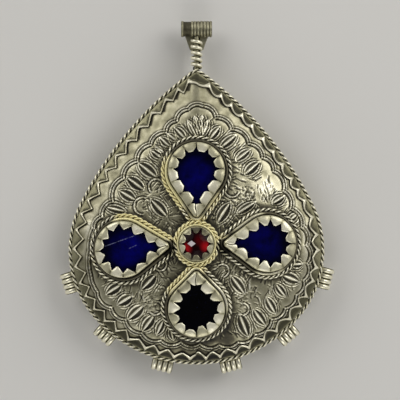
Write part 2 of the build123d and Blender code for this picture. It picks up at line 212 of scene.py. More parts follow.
# The sheet ends this near to the outline, and this far in under a setting
RIM_SNAP = 0.1
HIDDEN = 0.9
# Cells of the lining under the sheet
LINING_SIDES = 160
LINING_RINGS = 7


def teardrop_arcs(grow):
    """Tangent arcs of the box's outline: centre x, y, radius, start and stop angle."""
    shoulder_x = BOX_HALF_WIDTH - SHOULDER_R
    foot_r = (shoulder_x**2 + BOX_FOOT**2 - SHOULDER_R**2) / (2 * (BOX_FOOT - SHOULDER_R))
    foot_y = foot_r - BOX_FOOT
    reach = hypot(shoulder_x, BOX_APEX)
    along = (FLANK_R**2 - (FLANK_R - SHOULDER_R) ** 2 + reach**2) / (2 * reach)
    aside = sqrt(FLANK_R**2 - along**2)
    flank_x = (shoulder_x * along - BOX_APEX * aside) / reach
    flank_y = BOX_APEX - (BOX_APEX * along + shoulder_x * aside) / reach
    apex_r = APEX_R + max(grow, 0.0)
    apex_y = flank_y + sqrt((FLANK_R + grow - apex_r) ** 2 - flank_x**2)
    turn_1 = atan2(-foot_y, shoulder_x)
    turn_2 = atan2(-flank_y, shoulder_x - flank_x)
    turn_3 = atan2(apex_y - flank_y, -flank_x)
    stops = (-pi / 2, turn_1, turn_2, turn_3, pi - turn_3, pi - turn_2, pi - turn_1, 1.5 * pi)
    rounds = (
        (0.0, foot_y, foot_r + grow),
        (shoulder_x, 0.0, SHOULDER_R + grow),
        (flank_x, flank_y, FLANK_R + grow),
        (0.0, apex_y, apex_r),
        (-flank_x, flank_y, FLANK_R + grow),
        (-shoulder_x, 0.0, SHOULDER_R + grow),
        (0.0, foot_y, foot_r + grow),
    )
    return [(x, y + SHOULDER_Y, r, a, b) for (x, y, r), a, b in zip(rounds, stops, stops[1:])]


def teardrop(share, grow=0.0):
    """Points and outward normals at shares of the outline's length, from the foot round to the foot."""
    arcs = np.array(teardrop_arcs(grow))
    ends = np.concatenate(([0.0], np.cumsum(arcs[:, 2] * (arcs[:, 4] - arcs[:, 3]))))
    run = (np.asarray(share) % 1.0) * ends[-1]
    which = np.clip(np.searchsorted(ends, run, side="right") - 1, 0, len(arcs) - 1)
    row = arcs[which]
    turn = row[:, 3] + (run - ends[which]) / row[:, 2]
    normal = np.stack([np.cos(turn), np.sin(turn)], axis=1)
    return row[:, :2] + normal * row[:, 2:3], normal


def petal(share, reach, grow):
    """Points and outward normals of a setting's outline, from its tip round to its tip."""
    span = reach - BEZEL_TIP_REACH
    lean = acos((BEZEL_TIP_R - BEZEL_R) / span)
    tip, bow = 40, 160
    turns = np.concatenate((np.linspace(-pi, -lean, tip), np.linspace(-lean, lean, bow),
                            np.linspace(lean, pi, tip)))
    round_end = np.zeros(len(turns))
    round_end[tip:tip + bow] = 1.0
    radius = np.where(round_end > 0, BEZEL_R, BEZEL_TIP_R) + grow
    x = round_end * span + radius * np.cos(turns)
    y = radius * np.sin(turns)
    run = np.concatenate(([0.0], np.cumsum(np.hypot(np.diff(x), np.diff(y)))))
    at = np.asarray(share) * run[-1]
    turn = np.interp(at, run, turns)
    points = np.stack([np.interp(at, run, x), np.interp(at, run, y)], axis=1)
    return points, np.stack([np.cos(turn), np.sin(turn)], axis=1)


def ring(share, radius):
    """Points and outward normals of a circle round the centre."""
    turn = np.asarray(share) * tau
    normal = np.stack([np.cos(turn), np.sin(turn)], axis=1)
    return normal * radius, normal


def blurred(field, width):
    """Field of the grid, softened over a width in millimetres."""
    reach = int(3 * width / PITCH) + 1
    kernel = np.exp(-0.5 * (np.arange(-reach, reach + 1) * PITCH / width) ** 2)
    kernel /= kernel.sum()
    for axis in (0, 1):
        pad = [(reach, reach) if a == axis else (0, 0) for a in (0, 1)]
        wide = np.pad(field, pad, mode="edge")
        field = np.apply_along_axis(lambda line: np.convolve(line, kernel, mode="valid"), axis, wide)
    return field


# The CAD dome's heights on the grid
grid_x = FIELD_LOW[0] + PITCH * np.arange(FIELD_CELLS[0] + 1)
grid_y = FIELD_LOW[1] + PITCH * np.arange(FIELD_CELLS[1] + 1)
field_x, field_y = np.meshgrid(grid_x, grid_y, indexing="ij")
dome_mesh = frame["nodes"]["front_dome"].data
dome_tree = BVHTree.FromPolygons([v.co for v in dome_mesh.vertices],
                                 [p.vertices[:] for p in dome_mesh.polygons])
raw_z = np.full(field_x.shape, np.nan)
for i, x in enumerate(grid_x):
    for j, y in enumerate(grid_y):
        hit = dome_tree.ray_cast(Vector((x * MM, y * MM, 0.1)), Vector((0, 0, -1)))[0]
        if hit:
            raw_z[i, j] = hit.z / MM
on_dome = ~np.isnan(raw_z)
raw_z = np.where(on_dome, raw_z, WALL_TOP)

# Distance from each grid point to the wall's outline, and the place along the wall that is nearest
outline_dots, _ = teardrop(np.arange(OUTLINE_DOTS) / OUTLINE_DOTS)
wall_length = sum(r * (b - a) for _, _, r, a, b in teardrop_arcs(0.0))
rim_tree = KDTree(len(outline_dots))
for n, (x, y) in enumerate(outline_dots):
    rim_tree.insert((x, y, 0.0), n)
rim_tree.balance()
rim_gap = np.zeros(field_x.shape)
rim_run = np.zeros(field_x.shape)
for i, x in enumerate(grid_x):
    for j, y in enumerate(grid_y):
        if on_dome[i, j]:
            _, dot, rim_gap[i, j] = rim_tree.find((x, y, 0.0))
            rim_run[i, j] = dot * wall_length / OUTLINE_DOTS

# The dome's facets are softened, apart from its margin
covered = np.maximum(blurred(on_dome.astype(float), SOFTENED), 1e-3)
soft_z = blurred(np.where(on_dome, raw_z, 0.0), SOFTENED) / covered
inner = np.clip((rim_gap - PLAIN_MARGIN) / MARGIN_FADE, 0.0, 1.0)
base_z = soft_z * inner + raw_z * (1 - inner)


def sampled(field, x, y):
    """Value of a grid field at points between its corners."""
    u = np.clip((np.asarray(x) - FIELD_LOW[0]) / PITCH, 0, FIELD_CELLS[0] - 1e-6)
    v = np.clip((np.asarray(y) - FIELD_LOW[1]) / PITCH, 0, FIELD_CELLS[1] - 1e-6)
    i, j = u.astype(int), v.astype(int)
    a, b = u - i, v - j
    low = field[i, j] * (1 - b) + field[i, j + 1] * b
    high = field[i + 1, j] * (1 - b) + field[i + 1, j + 1] * b
    return low * (1 - a) + high * a


def dome_z(x, y):
    return sampled(base_z, x, y)


def step_of(share, steps):
    """Number of the step that a share of the way stands for."""
    return np.rint(share * steps).astype(int)


def strip(bm, along, across, place, closed):
    """Sheet of cells laid where place(u, v) says, with a tone for each corner; edges that meet are closed."""
    tone_layer = bm.verts.layers.float.get("hollow") or bm.verts.layers.float.new("hollow")
    verts = bmesh.ops.create_grid(bm, x_segments=along, y_segments=across, size=1.0)["verts"]
    flat = np.array([v.co[:2] for v in verts])
    u = np.rint((flat[:, 0] + 1) / 2 * along) / along
    v = np.rint((flat[:, 1] + 1) / 2 * across) / across
    points, tones = place(u, v)
    tones = np.broadcast_to(tones, len(verts))
    for vert, point, tone in zip(verts, points * MM, tones):
        vert.co = point
        vert[tone_layer] = tone
    if closed:
        bmesh.ops.remove_doubles(bm, verts=verts, dist=1e-7)


def wire(bm, path, side, up, radius, tone, around=8):
    """Round wire along a path; tone(i, angle) makes it darker or lighter along it and around it."""
    along = len(path) - 1
    radius = np.broadcast_to(radius, along + 1)

    def place(u, v):
        i = step_of(u, along)
        angle = v * tau
        arm = np.cos(angle)[:, None] * side[i] + np.sin(angle)[:, None] * up[i]
        return path[i] + radius[i][:, None] * arm, tone(i, angle)

    strip(bm, along, around, place, True)


def twist_shares(twist):
    """Shares of a twisted wire's length at the ends of its steps."""
    steps = twist[0] * twist[1]
    return np.arange(steps + 1) / steps


def twisted_wires(bm, path, side, up, twist):
    """Two strands laid round each other along a closed path, with painted shade in the slots between them."""
    turns, _, lay_r, strand_r, slot = twist
    share = twist_shares(twist)
    for phase in (0.0, pi):
        lay = share * turns * tau + phase
        strand = path + lay_r * (np.cos(lay)[:, None] * side + np.sin(lay)[:, None] * up)
        # Painted highlight on each strand's outer side and a little on top, painted shade where it faces the
        # other
        wire(bm, strand, side, up, strand_r, lambda i, angle: np.clip(
            slot - 1.8 * np.cos(angle - lay[i]) - 0.35 * np.sin(angle), -1.1, 1))


def add_object(name, data):
    made = bpy.data.objects.new(name, data)
    bpy.context.scene.collection.objects.link(made)
    return made


def keep_piece(name, bm, body, material, node, sharp):
    """Turns a bmesh into a piece that rides on a body, and hides the CAD node that it takes the place of."""
    bmesh.ops.recalc_face_normals(bm, faces=bm.faces)
    mesh = bpy.data.meshes.new(name)
    bm.to_mesh(mesh)
    bm.free()
    mesh.materials.append(material)
    mesh.polygons.foreach_set("use_smooth", np.ones(len(mesh.polygons), bool))
    mesh.set_sharp_from_angle(angle=radians(sharp))
    piece = add_object(name, mesh)
    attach(piece, body)
    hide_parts(node)


class Shade:
    """An output of a shader node; sums on it add Math nodes."""

    def __init__(self, tree, socket=None):
        self.tree = tree
        self.socket = socket

    def node(self, kind, settings=None, inputs=None, output=0):
        made = self.tree.nodes.new(kind)
        for key, value in (settings or {}).items():
            if key == "stops":
                ramp = made.color_ramp
                while len(ramp.elements) < len(value):
                    ramp.elements.new(0.5)
                for element, (place, colour) in zip(ramp.elements, value):
                    element.position = place
                    element.color = (*colour, 1.0)
            else:
                setattr(made, key, value)
        for key, value in (inputs or {}).items():
            socket = next(s for s in made.inputs if key in (s.identifier, s.name))
            if isinstance(value, Shade):
                self.tree.links.new(value.socket, socket)
            else:
                socket.default_value = value
        found = [s for s in made.outputs if output in (s.identifier, s.name)]
        return Shade(self.tree, found[0] if found else made.outputs[output] if made.outputs else None)

    def sum(self, operation, first, second):
        return self.node("ShaderNodeMath", {"operation": operation}, {"Value": first, "Value_001": second})

    def __add__(self, other):
        return self.sum("ADD", self, other)

    def __radd__(self, other):
        return self.sum("ADD", other, self)

    def __sub__(self, other):
        return self.sum("SUBTRACT", self, other)

    def __rsub__(self, other):
        return self.sum("SUBTRACT", other, self)

    def __mul__(self, other):
        return self.sum("MULTIPLY", self, other)

    def __rmul__(self, other):
        return self.sum("MULTIPLY", other, self)

    def __truediv__(self, other):
        return self.sum("DIVIDE", self, other)

    def held(self, low=0.0, high=1.0):
        return self.node("ShaderNodeClamp", None, {"Value": self, "Min": low, "Max": high})

    def rise(self, low, high):
        """0 below low and 1 above high, with a soft step between."""
        return self.node("ShaderNodeMapRange", {"interpolation_type": "SMOOTHSTEP"},
                         {"Value": self, "From Min": low, "From Max": high})

    def place(self):
        return self.node("ShaderNodeTexCoord", output="Object")

    def hollow(self):
        """Piece's tone, darker above zero, lighter below: tarnish, polish, painted shade and painted
        highlights.
        """
        return self.node("ShaderNodeAttribute", {"attribute_name": "hollow"}, output="Fac")

    def noise(self, where, scale, detail, roughness=0.55):
        return self.node("ShaderNodeTexNoise", None,
                         {"Vector": where, "Scale": scale, "Detail": detail, "Roughness": roughness})

    def vector(self, operation, first, second=(0, 0, 0), output=0):
        return self.node("ShaderNodeVectorMath", {"operation": operation},
                         {"Vector": first, "Vector_001": second}, output)

    def parts(self, where):
        split = self.node("ShaderNodeSeparateXYZ", None, {"Vector": where})
        return [Shade(self.tree, socket) for socket in split.socket.node.outputs]

    def ramp(self, stops, share):
        return self.node("ShaderNodeValToRGB", {"stops": stops}, {"Fac": share})

    def mixed(self, share, first, second):
        return self.node("ShaderNodeMix", {"data_type": "RGBA"},
                         {"Factor_Float": share, "A_Color": first, "B_Color": second}, "Result_Color")

    def bump(self, strength, distance, height):
        return self.node("ShaderNodeBump", None, {"Strength": strength, "Distance": distance, "Height": height})


def new_finish(name):
    material = bpy.data.materials.new(name)
    material.use_nodes = True
    material.node_tree.nodes.clear()
    return material, Shade(material.node_tree)


def close_finish(shade, inputs):
    surface = shade.node("ShaderNodeBsdfPrincipled", None, inputs)
    shade.node("ShaderNodeOutputMaterial", None, {"Surface": surface})


SILVER_STOPS = (
    (0.0, (0.92, 0.89, 0.74)), (0.2, (0.60, 0.57, 0.42)), (0.45, (0.34, 0.322, 0.215)),
    (0.7, (0.11, 0.10, 0.066)), (1.0, (0.014, 0.013, 0.009)),
)
BRIGHT_STOPS = (
    (0.0, (0.96, 0.92, 0.73)), (0.25, (0.72, 0.685, 0.48)), (0.5, (0.43, 0.405, 0.26)),
    (0.72, (0.12, 0.11, 0.075)), (1.0, (0.014, 0.013, 0.010)),
)
BORDER_STOPS = (
    (0.0, (0.95, 0.91, 0.72)), (0.2, (0.56, 0.53, 0.37)), (0.45, (0.30, 0.285, 0.18)),
    (0.7, (0.085, 0.08, 0.048)), (1.0, (0.012, 0.011, 0.008)),
)
GOLD_STOPS = (
    (0.0, (1.0, 0.91, 0.47)), (0.4, (1.0, 0.83, 0.31)), (0.7, (0.40, 0.29, 0.09)), (1.0, (0.03, 0.024, 0.012)),
)
SILVER_GRAIN = 1900.0
SILVER_RELIEF = 0.00006


def old_silver(name, stops, cloud_scale=230.0, cloud=0.40, mirror=0.68):
    """Worn silver: tarnish lies in the hollows and in clouds, and the high places are polished."""
    material, shade = new_finish(name)
    where = shade.place()
    clouds = shade.noise(where, cloud_scale, 4.0)
    grain = shade.noise(where, SILVER_GRAIN, 4.0, 0.65)
    drawn = shade.node("ShaderNodeMapping", None,
                       {"Vector": where, "Scale": (1.0, 9.0, 3.0), "Rotation": (0, 0, 0.6)})
    scratches = shade.noise(drawn, 700.0, 5.0, 0.7)
    tarnish = 0.44 + shade.hollow() * 0.50 + (clouds - 0.5) * cloud + (grain - 0.5) * 0.20
    tarnish = tarnish.held()
    roughness = 0.30 + tarnish * 0.30 + (scratches - 0.5) * 0.16
    metallic = (mirror + tarnish * 0.9).held(0.0, 0.95) - tarnish.rise(0.55, 1.0) * 0.4
    close_finish(shade, {"Base Color": shade.ramp(stops, tarnish), "Roughness": roughness.held(0.12, 0.8),
                         "Metallic": metallic,
                         "Normal": shade.bump(0.55, SILVER_RELIEF, grain * 0.7 + scratches * 0.6)})
    return material


def ribbed_silver(name, stops, bore, groove, crest, dull, bright):
    """Ribbed silver tube with painted shade and tarnish between its ribs; its bore gives its middle and
    direction.
    """
    material, shade = new_finish(name)
    where = shade.place()
    arm = shade.vector("SUBTRACT", where, bore["pos_m"])
    away = shade.vector("LENGTH", shade.vector("CROSS_PRODUCT", arm, bore["axis"]), output="Value")
    raised = away.rise(groove * MM, crest * MM)
    raised = raised + (1.0 - away.rise(0.75 * groove * MM, 0.88 * groove * MM)) * 0.5
    clouds = shade.noise(where, 500.0, 4.0)
    grain = shade.noise(where, SILVER_GRAIN, 4.0, 0.65)
    tarnish = (dull - raised * (dull - bright) + (clouds - 0.5) * 0.5 + (grain - 0.5) * 0.25).held()
    close_finish(shade, {"Base Color": shade.ramp(stops, tarnish), "Roughness": 0.30 + tarnish * 0.35,
                         "Metallic": (0.72 + tarnish * 0.3).held(),
                         "Normal": shade.bump(0.5, SILVER_RELIEF, grain + clouds * 0.5)})
    return material


def spots(shade, where, places, height):
    """Sum of round soft-edged places at one height."""
    total = 0.0
    for x, y, reach, amount in places:
        away = shade.vector("DISTANCE", where, (x * MM, y * MM, height * MM), "Value")
        total = (1.0 - away.rise(reach * 0.6 * MM, reach * MM)) * amount + total
    return total


def gilt_rope_finish():
    """Silver rope with gilding left in places, painted shade in the slots of its twist and beside the centre.
    """
    material, shade = new_finish("gilt_rope")
    where = shade.place()
    hollow = shade.hollow()
    clouds = shade.noise(where, 260.0, 3.0)
    grain = shade.noise(where, 2200.0, 3.0)
    # Painted shade on the ropes beside the centre, where the side settings' ropes end
    rope_shade = spots(shade, where, ROPE_PAINTED_SHADE, ROPE_PAINTED_SHADE_Z)
    worn = spots(shade, where, SILVER_WORN, ROPE_Z)
    gilding = (spots(shade, where, GILDED, ROPE_Z) + (clouds - 0.5) * 0.5 - rope_shade).held()
    open_side = 1.0 - hollow.rise(0.55, 1.0)
    tarnish = 0.50 + hollow * 0.5 - (gilding * 0.76 + worn * 0.34) * open_side + rope_shade * 0.5
    tarnish = (tarnish + (clouds - 0.5) * 0.4 + (grain - 0.5) * 0.2).held()
    colour = shade.mixed(gilding, shade.ramp(BRIGHT_STOPS, tarnish), shade.ramp(GOLD_STOPS, tarnish))
    close_finish(shade, {"Base Color": colour, "Roughness": 0.24 + tarnish * 0.36,
                         "Metallic": (0.62 + tarnish * 0.3 - gilding * 0.50).held(),
                         "Normal": shade.bump(0.4, 0.00005, grain)})
    return material


def stone_finish(name, deep, lit, scratch=None):
    """Polished stone with faint clouds and painted shade at its rim, and with scratches where they are given.
    """
    material, shade = new_finish(name)
    where = shade.place()
    clouds = shade.noise(where, 260.0, 5.0, 0.6)
    specks = shade.noise(where, 2400.0, 2.0)
    colour = shade.mixed((clouds * 2.4 - 0.8).held(), (*deep, 1.0), (*lit, 1.0))
    colour = shade.mixed(specks.rise(0.62, 0.78) * 0.12, colour, (0.03, 0.03, 0.20, 1.0))
    # Painted shade: the piece's tone darkens the stone nearly to black towards its rim, under the teeth
    colour = shade.mixed(shade.hollow() * 0.92, colour, (0.0003, 0.0003, 0.002, 1.0))
    roughness = 0.10 + clouds * 0.10
    if scratch:
        colour, roughness = scratch(shade, where, colour, roughness)
    close_finish(shade, {"Base Color": colour, "Roughness": roughness, "Coat Weight": 0.03,
                         "Coat Roughness": 0.06, "Specular IOR Level": 0.09,
                         "Normal": shade.bump(0.12, 0.00004, clouds + specks * 0.3)})
    return material


def scratched(shade, where, colour, roughness):
    """Two chalky scratches across the left stone."""
    x, y, _ = shade.parts(where)
    broken = shade.noise(where, 1700.0, 3.0)
    width, fade = 0.00014, 0.0006
    mark = 0.0
    for x0, x1, y0, slope in ((-0.0246, -0.0157, -0.0008, 0.36), (-0.0181, -0.0157, -0.00135, 0.44)):
        line = (y - y0 - (x - x0) * slope) / width
        near = (1.0 - line * line).held()
        span = x.rise(x0, x0 + fade) * (1.0 - x.rise(x1 - fade, x1))
        mark = near * span * broken.rise(0.36, 0.6) + mark
    mark = mark.held()
    return shade.mixed(mark * 0.5, colour, (0.30, 0.32, 0.55, 1.0)), roughness + mark * 0.4


def plain_finish(name, light, dark, scale, rough, relief, extra=None):
    """Rough dull matter with a clouded colour."""
    material, shade = new_finish(name)
    where = shade.place()
    clouds = shade.noise(where, scale, 5.0, 0.6)
    fibre = shade.noise(where, scale * 7, 4.0, 0.6)
    share = (clouds * 1.5 - 0.25 + (fibre - 0.5) * 0.5).held()
    close_finish(shade, {"Base Color": shade.mixed(share, (*dark, 1.0), (*light, 1.0)),
                         "Roughness": rough + (fibre - 0.5) * 0.2,
                         "Normal": shade.bump(0.5, relief, clouds * 0.4 + fibre), **(extra or {})})
    return material


def garnet_finish():
    """Dark red cut stone with a painted glow in three places under its crown, and one facet painted pale."""
    material, shade = new_finish("garnet")
    where = shade.place()
    clouds = shade.noise(where, 500.0, 3.0)
    x, y, _ = shade.parts(where)
    flat = shade.vector("MULTIPLY", where, (1, 1, 0))
    # Painted glow: red light painted in three places inside the crown, kept within the girdle
    painted_glow = 0.0
    for spot, amount in (((-0.0028, -0.0012, 0.0), 0.8), ((0.0025, -0.0007, 0.0), 0.8),
                         ((0.0008, 0.0010, 0.0), 0.14)):
        away = shade.vector("DISTANCE", flat, spot, "Value")
        painted_glow = (1.0 - away.rise(0.0001, 0.0021)) * amount + painted_glow
    inside = 1.0 - (x * x + y * y).rise(0.0029**2, 0.0034**2)
    lit = (painted_glow * inside + (clouds - 0.5) * 0.08).held()
    colour = shade.mixed(lit, (0.008, 0.0008, 0.002, 1.0), (0.46, 0.008, 0.012, 1.0))
    # Painted highlight: one crown facet painted pale
    highlight = x.sum("ABSOLUTE", x + 0.0013, 0.0) / 0.00115 + y.sum("ABSOLUTE", y - 0.0001, 0.0) / 0.00085
    colour = shade.mixed((1.0 - highlight.rise(0.85, 1.05)) * 0.85, colour, (0.74, 0.67, 0.71, 1.0))
    close_finish(shade, {"Base Color": colour, "Roughness": 0.14 + clouds * 0.10, "Specular IOR Level": 0.07})
    return material


chased_silver = old_silver("chased_silver", SILVER_STOPS)
border_silver = old_silver("border_silver", BORDER_STOPS, cloud_scale=120.0, cloud=0.5)
twisted_silver = old_silver("twisted_silver", BRIGHT_STOPS, cloud=0.3)
bezel_silver = old_silver("bezel_silver", BRIGHT_STOPS, cloud_scale=400.0, cloud=0.35, mirror=0.42)
wall_silver = old_silver("wall_silver", SILVER_STOPS, cloud_scale=150.0, cloud=0.6)
back_silver = old_silver("back_silver", SILVER_STOPS, cloud_scale=90.0, cloud=0.5)
bail_silver = old_silver("bail_silver", SILVER_STOPS, cloud_scale=500.0, cloud=0.5)
gilt_rope = gilt_rope_finish()
blue_stone = stone_finish("blue_stone", (0.0004, 0.0004, 0.020), (0.0015, 0.0012, 0.105))
scratched_blue = stone_finish("scratched_blue_stone", (0.0004, 0.0004, 0.028), (0.0012, 0.0010, 0.150),
                              scratched)
black_stone = stone_finish("black_stone", (0.0003, 0.0003, 0.0004), (0.001, 0.001, 0.002))
garnet = garnet_finish()
lac = plain_finish("lac", (0.16, 0.06, 0.03), (0.06, 0.022, 0.014), 300.0, 0.6, 0.0001)
paper = plain_finish("paper", (0.72, 0.62, 0.42), (0.50, 0.40, 0.24), 160.0, 0.85, 0.00008)
ribbon = plain_finish("ribbon", (0.42, 0.05, 0.05), (0.22, 0.02, 0.025), 400.0, 0.7, 0.0001,
                      {"Sheen Weight": 0.3})


def setting_frame(name, direction, reach):
    """Tip's middle, outward, sideways and upward directions of a setting, from its CAD stone."""
    mesh = frame["nodes"][name + "_stone"].data
    top = max((p for p in mesh.polygons if p.normal.z > 0.5), key=lambda p: p.area)
    normal = np.array(top.normal)
    turn = radians(direction)
    middle = (BEZEL_TIP_REACH + reach) / 2
    seat = np.array([middle * cos(turn), middle * sin(turn), 0.0])
    level = normal @ (np.array(top.center) / MM) - STONE_TOP
    seat[2] = (level - normal[:2] @ seat[:2]) / normal[2]
    outward = np.array([cos(turn), sin(turn), 0.0])
    outward = outward - normal * (normal @ outward)
    outward /= np.linalg.norm(outward)
    return seat + outward * (BEZEL_TIP_REACH - middle), outward, np.cross(normal, outward), normal


def set_out(place, flat, lift=0.0):
    """Points of a setting's own plane, in the box's frame."""
    origin, outward, sideways, normal = place
    return origin + flat[:, :1] * outward + flat[:, 1:] * sideways + np.reshape(lift, (-1, 1)) * normal


def lift_to_dome(place, flat, sink):
    """Height in the setting's plane at which a point meets the dome, sunk a little."""
    spot = set_out(place, flat)
    lift = np.zeros(len(flat))
    for _ in range(3):
        now = spot + lift[:, None] * place[3]
        lift -= (now[:, 2] - dome_z(now[:, 0], now[:, 1])) / place[3][2]
    return lift - sink


setting_frames = {name: setting_frame(name, direction, reach) for name, direction, reach in SETTINGS}
setting_frames["centre"] = (np.array([0.0, 0.0, PLATEAU_Z]), np.array([1.0, 0, 0]), np.array([0, 1.0, 0]),
                            np.array([0, 0, 1.0]))


def petal_gap(place, reach):
    """Distance of each grid point from a setting's outline, below zero inside it."""
    origin, outward, sideways, _ = place
    dx, dy, dz = field_x - origin[0], field_y - origin[1], base_z - origin[2]
    along = dx * outward[0] + dy * outward[1] + dz * outward[2]
    aside = np.abs(dx * sideways[0] + dy * sideways[1] + dz * sideways[2])
    span = reach - BEZEL_TIP_REACH
    lean = (BEZEL_TIP_R - BEZEL_R) / span
    slope = sqrt(1 - lean * lean)
    turn = along * slope - aside * lean
    flank = aside * slope + along * lean - BEZEL_TIP_R
    gap = np.where(turn < 0, np.hypot(along, aside) - BEZEL_TIP_R, flank)
    return np.where(turn > slope * span, np.hypot(along - span, aside) - BEZEL_R, gap)


rope_gap = np.min([petal_gap(setting_frames[name], reach) for name, _, reach in SETTINGS], axis=0)
under_setting = np.minimum(rope_gap, np.hypot(field_x, field_y) - CENTRE_BEZEL_R)
rope_gap = np.minimum(rope_gap - ROPE_D, np.hypot(field_x, field_y) - CENTRE_OUT_R)
ray_x, ray_y = np.gradient(blurred(rope_gap, 1.2), PITCH)


def cell_of(x, y):
    """Grid cell that holds a place."""
    return int((x - FIELD_LOW[0]) / PITCH), int((y - FIELD_LOW[1]) / PITCH)


def patch(x, y, reach, way=(1.0, 0.0)):
    """Part of the grid within reach of a place, and its points from there along a direction and across it."""
    i, j = cell_of(x, y)
    wide = int(reach / PITCH) + 2
    cells = (slice(max(i - wide, 0), i + wide), slice(max(j - wide, 0), j + wide))
    dx, dy = field_x[cells] - x, field_y[cells] - y
    return cells, dx * way[0] + dy * way[1], dy * way[0] - dx * way[1]


def bell(t, width):
    return np.exp(-((t / width) ** 2))


def leaf_lay(leaf):
    """A leaf's middle, direction, length and width."""
    x0, y0, x1, y1, width = leaf
    length = hypot(x1 - x0, y1 - y0)
    return ((x0 + x1) / 2, (y0 + y1) / 2), np.array([x1 - x0, y1 - y0]) / length, length, width


def leaf_relief(relief, leaf):
    """Leaf: raised edge with a line round it, two hollows and a sharp ridge along its middle."""
    middle, way, length, width = leaf_lay(leaf)
    half = length / 2 + 0.3
    cells, u, aside = patch(*middle, half + 1.4, way)
    u = u / half
    v = np.abs(aside)
    edge = (width / 2 + 0.12) * np.clip(1 - u * u, 0, 1) ** 0.72
    fade = np.clip((1.10 - np.abs(u)) / 0.16, 0, 1)
    inside = np.clip((edge - v) / 0.25, 0, 1)
    shelter = -0.7 * (way[0] + way[1]) * np.clip(aside / 0.2, -1, 1)
    height = (0.24 * bell(v - edge, 0.17) - 0.16 * bell(v - edge - 0.36, 0.16)) * fade
    height += (0.13 * bell(v - edge - 0.72, 0.14) - 0.12 * bell(v - edge - 1.02, 0.14)) * fade
    ridge = 0.13 + 0.22 * np.clip(1 - u * u, 0, 1)
    height -= (0.24 + 0.15 * shelter) * inside * (1 - bell(v, ridge + 0.04))
    height += 0.32 * bell(v, ridge) * np.clip((0.97 - np.abs(u)) / 0.3, 0, 1)
    relief[cells] += height


def arc_relief(relief, centre, radius, low, high, profile):
    """Chased line along an arc between two angles."""
    cells, dx, dy = patch(centre[0], centre[1], radius + 1.5)
    away = np.hypot(dx, dy) - radius
    turn = (np.arctan2(dy, dx) - low) % tau
    past = np.where(turn > (high - low) / 2 + pi, turn - tau, turn)
    end_gap = np.minimum(past, (high - low) - past) * radius
    relief[cells] += profile(away) * np.clip(end_gap / 0.35 + 0.6, 0, 1)


def scallop_profile(t):
    line = 0.30 * bell(t, 0.17) - 0.36 * bell(t + 0.36, 0.17) - 0.22 * bell(t - 0.36, 0.16)
    return line + 0.15 * bell(t - 0.70, 0.14) - 0.10 * bell(t - 0.98, 0.15)


def scroll_profile(t):
    return 0.26 * bell(t, 0.18) - 0.26 * bell(np.abs(t) - 0.38, 0.17)


def stroke_relief(relief, x, y, way, half, width):
    """Short cut of the chisel with its burr."""
    cells, u, v = patch(x, y, half + 0.7, way)
    height = 0.13 * bell(v - 1.7 * width, width) - 0.24 * bell(v, width)
    relief[cells] += height * np.clip((1.1 - np.abs(u) / half) / 0.35, 0, 1)


def line_relief(relief, start, way, length, height):
    """Fine straight line with a cut along each side."""
    width = 0.13
    half = length / 2
    cells, u, v = patch(start[0] + way[0] * half, start[1] + way[1] * half, half + 0.7, way)
    height = height * (bell(v, width) - 1.1 * bell(np.abs(v) - 2.2 * width, width))
    relief[cells] += height * np.clip((1.0 - np.abs(u) / half) / 0.3, 0, 1)


def scattered_strokes(relief, chance):
    """Strokes inside the scallops that point away from the ropes, thinner with the distance."""
    joints = np.array(SCALLOP_JOINTS)
    middle = joints.mean(axis=0)
    inner_ring = joints * 0.94 + middle * 0.06
    for _ in range(STROKES):
        n = chance.randint(len(joints))
        share, side = chance.rand(2)
        edge = inner_ring[n] * share + inner_ring[(n + 1) % len(joints)] * (1 - share)
        spot = middle + (edge - middle) * (0.22 + 0.78 * side)
        i, j = cell_of(*spot)
        if rope_gap[i, j] < 0.3 or chance.rand() > 1.1 - 0.10 * rope_gap[i, j]:
            continue
        lean = atan2(ray_y[i, j], ray_x[i, j]) + chance.normal(0, 0.35)
        stroke_relief(relief, spot[0], spot[1], (cos(lean), sin(lean)), chance.uniform(0.5, 1.3),
                      chance.uniform(0.13, 0.19))


def leaf_lines(relief, chance):
    """Three lines along each side of every leaf, shorter and shallower outwards."""
    for leaf in LEAVES:
        _, way, length, width = leaf_lay(leaf)
        for side in (-1, 1):
            for step, share, height in ((0.85, 0.95, 0.17), (1.35, 0.75, 0.14), (1.85, 0.6, 0.10)):
                lean = side * chance.uniform(0.06, 0.16)
                lined = np.array([way[0] * cos(lean) - way[1] * sin(lean),
                                  way[1] * cos(lean) + way[0] * sin(lean)])
                across = side * (width / 2 + step + chance.uniform(-0.1, 0.1)) * 0.92
                start = leaf[:2] + across * np.array([-way[1], way[0]]) + way * chance.uniform(-0.2, 0.5)
                line_relief(relief, start, lined, length * share * chance.uniform(0.8, 1.1), height)


def clear_under_leaf(relief, leaf):
    """Takes strokes and lines away where a leaf will lie."""
    middle, way, length, width = leaf_lay(leaf)
    cells, u, v = patch(*middle, 4.5, way)
    away = np.hypot(2 * u / (1.15 * length), v / (width * 0.5 + 0.45))
    relief[cells] *= np.clip((away - 0.9) / 0.2, 0, 1)


def scallop_relief(relief, n):
    """Arc from one joint of the scallops to the next."""
    joints = np.array(SCALLOP_JOINTS)
    a, b = joints[n], joints[(n + 1) % len(joints)]
    chord = b - a
    length = hypot(*chord)
    rise = (FLAT_SAG if n in FLAT_SCALLOPS else SCALLOP_SAG) * length
    radius = length**2 / (8 * rise) + rise / 2
    out = np.array([-chord[1], chord[0]]) / length
    centre = (a + b) / 2 - out * (radius - rise)
    low = atan2(*(b - centre)[::-1])
    high = atan2(*(a - centre)[::-1])
    arc_relief(relief, centre, radius, low, low + (high - low) % tau, scallop_profile)


